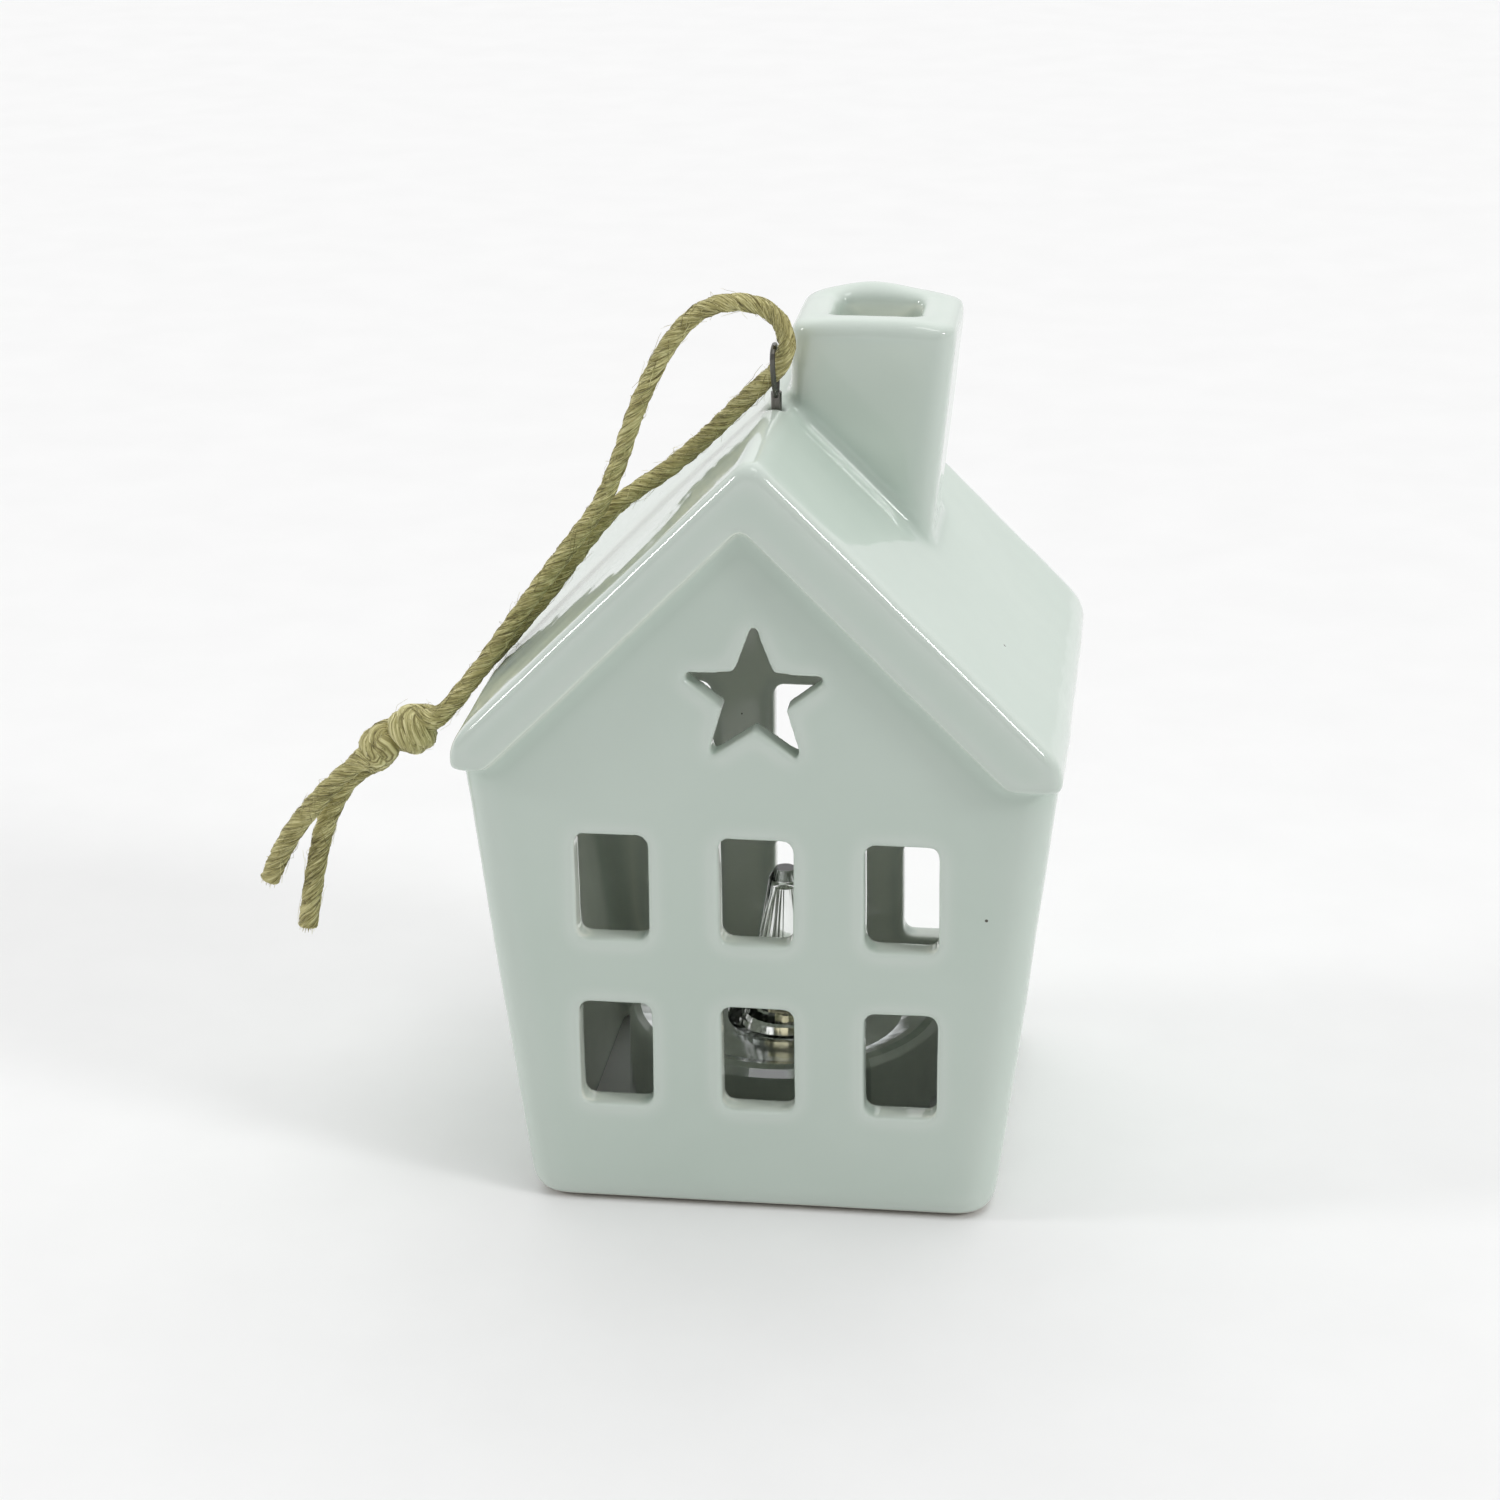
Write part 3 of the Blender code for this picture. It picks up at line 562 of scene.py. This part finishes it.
def make_twine():
    jute = jute_material("jute", 1.22)
    fibre = jute_material("jute_fibre", 1.35)
    core = knot_core(jute_material("jute_shaded", 0.8))
    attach(core, "house")
    parts = (
        ("twine_upper", UPPER_STRAND, KNOT_OFFSET, SHORT_TAIL, 1.0,
         ["twine_upper_strand", "twine_tail_short"], [core]),
        ("twine_lower", LOWER_STRAND, -KNOT_OFFSET, LONG_TAIL, 2.0,
         ["twine_lower_strand", "twine_tail_long"], []),
    )
    for name, strand, offset, tail, seed, stood_for, on_it in parts:
        points, length = strand_route(strand, offset, tail)
        cord = twine_mesh(name, points, jute, seed)
        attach(cord, "house")
        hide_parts(*stood_for)
        fuzz = fuzz_mesh(name + "_fibres", points, fibre, int(seed), CLOSE_FIBRES, LOOSE_FIBRES)
        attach(fuzz, "house")
    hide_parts("twine_knot")


# ================================================================ ceramic house
VOXEL = 0.45 * MM
SOFTENING_ROUNDS = 15
WINDOW_PITCH = 16.1 * MM
WINDOW_ROWS = (19.1 * MM, 39.5 * MM)
WINDOW_SIZE = (8.2 * MM, 12.8 * MM)
STAR_Z = 62.35 * MM
STAR_RADIUS = 8.95 * MM
WAVE_HEIGHT = 0.10 * MM
LONG_WAVE = 13.0 * MM
SHORT_WAVE = 4.5 * MM
BEND_ROUNDS = 12
BEND_RANGE = 0.04 * MM
BARE_BELOW = 0.75 * MM            # no glaze under the foot ring up to here
RIM_BACK_Y = 8.5 * MM             # where the flue ends and the back of the rim begins
RIM_LOW_Z = 90.0 * MM             # the chimney starts to differ from its plain shape here
RIM_RANGE = 7.0 * MM
RIM_MIDDLE_X = 9.5 * MM
RIM_HALF_WIDTH = 8.0 * MM
HUMP_X = 9.0 * MM
HUMP_REACH = 4.5 * MM
HUMP_HEIGHT = 0.9 * MM
HUMP_RISE = 3.0 * MM              # how far behind RIM_BACK_Y the hump is full
SAG_DEPTH = 0.5 * MM
HEART_HEIGHT = 45.0 * MM          # up to here the hollow's middle is the house's vertical axis


def neighbour_average(values, edges, count):
    """Each vertex's mean of its neighbours' values."""
    total = np.zeros_like(values)
    np.add.at(total, edges[:, 0], values[edges[:, 1]])
    np.add.at(total, edges[:, 1], values[edges[:, 0]])
    shared = np.bincount(edges.ravel(), minlength=count)
    return total / (shared[:, None] if values.ndim > 1 else shared)


def softening(spots):
    """How far each round of softening moves a vertex: less round the windows and the star."""
    x, z = np.abs(spots[:, 0]), spots[:, 2]
    across = np.minimum(x, np.abs(x - WINDOW_PITCH)) - WINDOW_SIZE[0] / 2
    up = np.minimum(np.abs(z - WINDOW_ROWS[0]), np.abs(z - WINDOW_ROWS[1])) - WINDOW_SIZE[1] / 2
    from_window = np.maximum(across, up)
    from_star = np.hypot(spots[:, 0], z - STAR_Z) - STAR_RADIUS
    from_opening = np.minimum(from_window, np.where(spots[:, 1] < 0, from_star, 1.0))
    return np.interp(from_opening, (0.4 * MM, 2.0 * MM), (0.06, 0.5))


def rim_rise(spots):
    """How far the chimney's rim stands above a flat one: it humps at the back and sags at the sides."""
    x, y, z = spots.T
    near_top = np.clip((z - RIM_LOW_Z) / RIM_RANGE, 0.0, 1.0) ** 2
    hump = np.exp(-((x - HUMP_X) / HUMP_REACH) ** 2) * np.clip((y - RIM_BACK_Y) / HUMP_RISE, 0.0, 1.0)
    sag = np.clip(np.abs(x - RIM_MIDDLE_X) / RIM_HALF_WIDTH, 0.0, 1.0) ** 3
    return (HUMP_HEIGHT * hump - SAG_DEPTH * sag) * near_top


def fine_mesh(source):
    """A new object, house_shell, with an even, fine mesh of a solid."""
    shell = bpy.data.objects.new("house_shell", source.data.copy())
    bpy.context.scene.collection.objects.link(shell)
    remesh = shell.modifiers.new("remesh", "REMESH")
    remesh.mode = "VOXEL"
    remesh.voxel_size = VOXEL
    remesh.adaptivity = 0.0
    evaluated = shell.evaluated_get(bpy.context.evaluated_depsgraph_get())
    made = bpy.data.meshes.new_from_object(evaluated)
    shell.modifiers.clear()
    shell.data = made
    made.name = "house_shell"
    return shell


def read_array(items, key, width, kind=float):
    """One property of each of a mesh's items, as rows of the given width."""
    values = np.empty(len(items) * width, dtype=kind)
    items.foreach_get(key, values)
    return values.reshape(-1, width)


def place_vertices(mesh, spots):
    mesh.vertices.foreach_set("co", spots.ravel())
    mesh.update()


def surface_bend(spots, normals, edges):
    """Where the surface is a ridge (towards 1), flat (one half) or a hollow (towards 0)."""
    count = len(spots)
    bend = ((spots - neighbour_average(spots, edges, count)) * normals).sum(axis=1)
    for _ in range(BEND_ROUNDS):
        bend = 0.4 * bend + 0.6 * neighbour_average(bend, edges, count)
    return np.clip(0.5 + bend / BEND_RANGE, 0.0, 1.0)


def inward(spots, normals):
    """1 where the surface faces the middle of the house, 0 where it faces away."""
    middle = np.zeros_like(spots)
    middle[:, 2] = np.minimum(spots[:, 2], HEART_HEIGHT)
    outward = spots - middle
    outward /= np.linalg.norm(outward, axis=1)[:, None]
    return np.clip(0.5 - 4.0 * (outward * normals).sum(axis=1), 0.0, 1.0)


def waves(spots):
    """Slow unevenness of the hand-finished clay: none at the foot, full from a few millimetres up."""
    above_foot = np.clip(spots[:, 2] / (4.0 * MM), 0.0, 1.0)
    wave = np.array([noise.noise(Vector(s) / LONG_WAVE) + 0.35 * noise.noise(Vector(s) / SHORT_WAVE)
                     for s in spots])
    return WAVE_HEIGHT * wave * above_foot


def make_house():
    """The glazed shell: every edge is soft, as slip-cast clay under a thick glaze is."""
    shell = fine_mesh(nodes["ceramic_house"])
    mesh = shell.data
    spots = read_array(mesh.vertices, "co", 3)
    edges = read_array(mesh.edges, "vertices", 2, np.int64)

    strength = softening(spots)
    for _ in range(SOFTENING_ROUNDS):
        average = neighbour_average(spots, edges, len(spots))
        spots = spots + strength[:, None] * (average - spots)
    place_vertices(mesh, spots)

    normals = read_array(mesh.vertex_normals, "vector", 3)
    edge = surface_bend(spots, normals, edges)
    bare = np.clip((BARE_BELOW - spots[:, 2]) / (0.3 * MM), 0.0, 1.0) * (normals[:, 2] < -0.5)

    spots[:, 2] += rim_rise(spots)
    spots = spots + normals * waves(spots)[:, None]
    place_vertices(mesh, spots)

    # The inside mask says where the glaze is painted paler, as painted bounce light.
    for name, values in (("edge", edge), ("bare", bare), ("inside", inward(spots, normals))):
        layer = mesh.attributes.new(name, "FLOAT", "POINT")
        layer.data.foreach_set("value", values.astype(np.float32))
    mesh.materials.clear()
    mesh.materials.append(glaze_material())
    mesh.shade_smooth()
    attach(shell, "house")
    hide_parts("ceramic_house")


# ================================================================ tealight and wire
def paint_cad_nodes():
    """Better finishes for the CAD nodes that are shown as they are."""
    silver = metal_material("silver_shell", (0.80, 0.82, 0.82), 0.16, 700.0, (1.0, 1.0, 0.25), 0.06)
    steel = metal_material("bright_steel", (0.66, 0.66, 0.64), 0.24, 1400.0, (1.0, 0.15, 1.0), 0.08)
    wire = metal_material("dark_wire", (0.16, 0.155, 0.14), 0.34, 1600.0, (1.0, 1.0, 0.3), 0.12)
    brass = metal_material("spring_brass", (0.80, 0.58, 0.24), 0.28, 1200.0, (0.2, 1.0, 1.0), 0.08)
    white = plastic_material("base_plastic", (0.74, 0.75, 0.74), 0.42)
    black = plastic_material("switch_plastic", (0.025, 0.025, 0.027), 0.38)
    lens = clear_material("lens_plastic", (0.97, 0.98, 0.97), 0.03)
    resin = clear_material("lamp_resin", (0.98, 0.90, 0.62), 0.12)
    finishes = {
        "tealight_housing": silver, "flame_lens": lens, "led_lamp": resin,
        "led_lead_positive": steel, "led_lead_negative": steel, "coin_cell": steel,
        "contact_spring": brass, "switch_contact": brass, "base_plate": white,
        "battery_door": white, "switch_knob": black, "wire_eye": wire,
    }
    for name, finish in finishes.items():
        mesh = nodes[name].data
        mesh.materials.clear()
        mesh.materials.append(finish)


make_camera()
make_twine()
make_house()
paint_cad_nodes()
make_floor()
make_light()
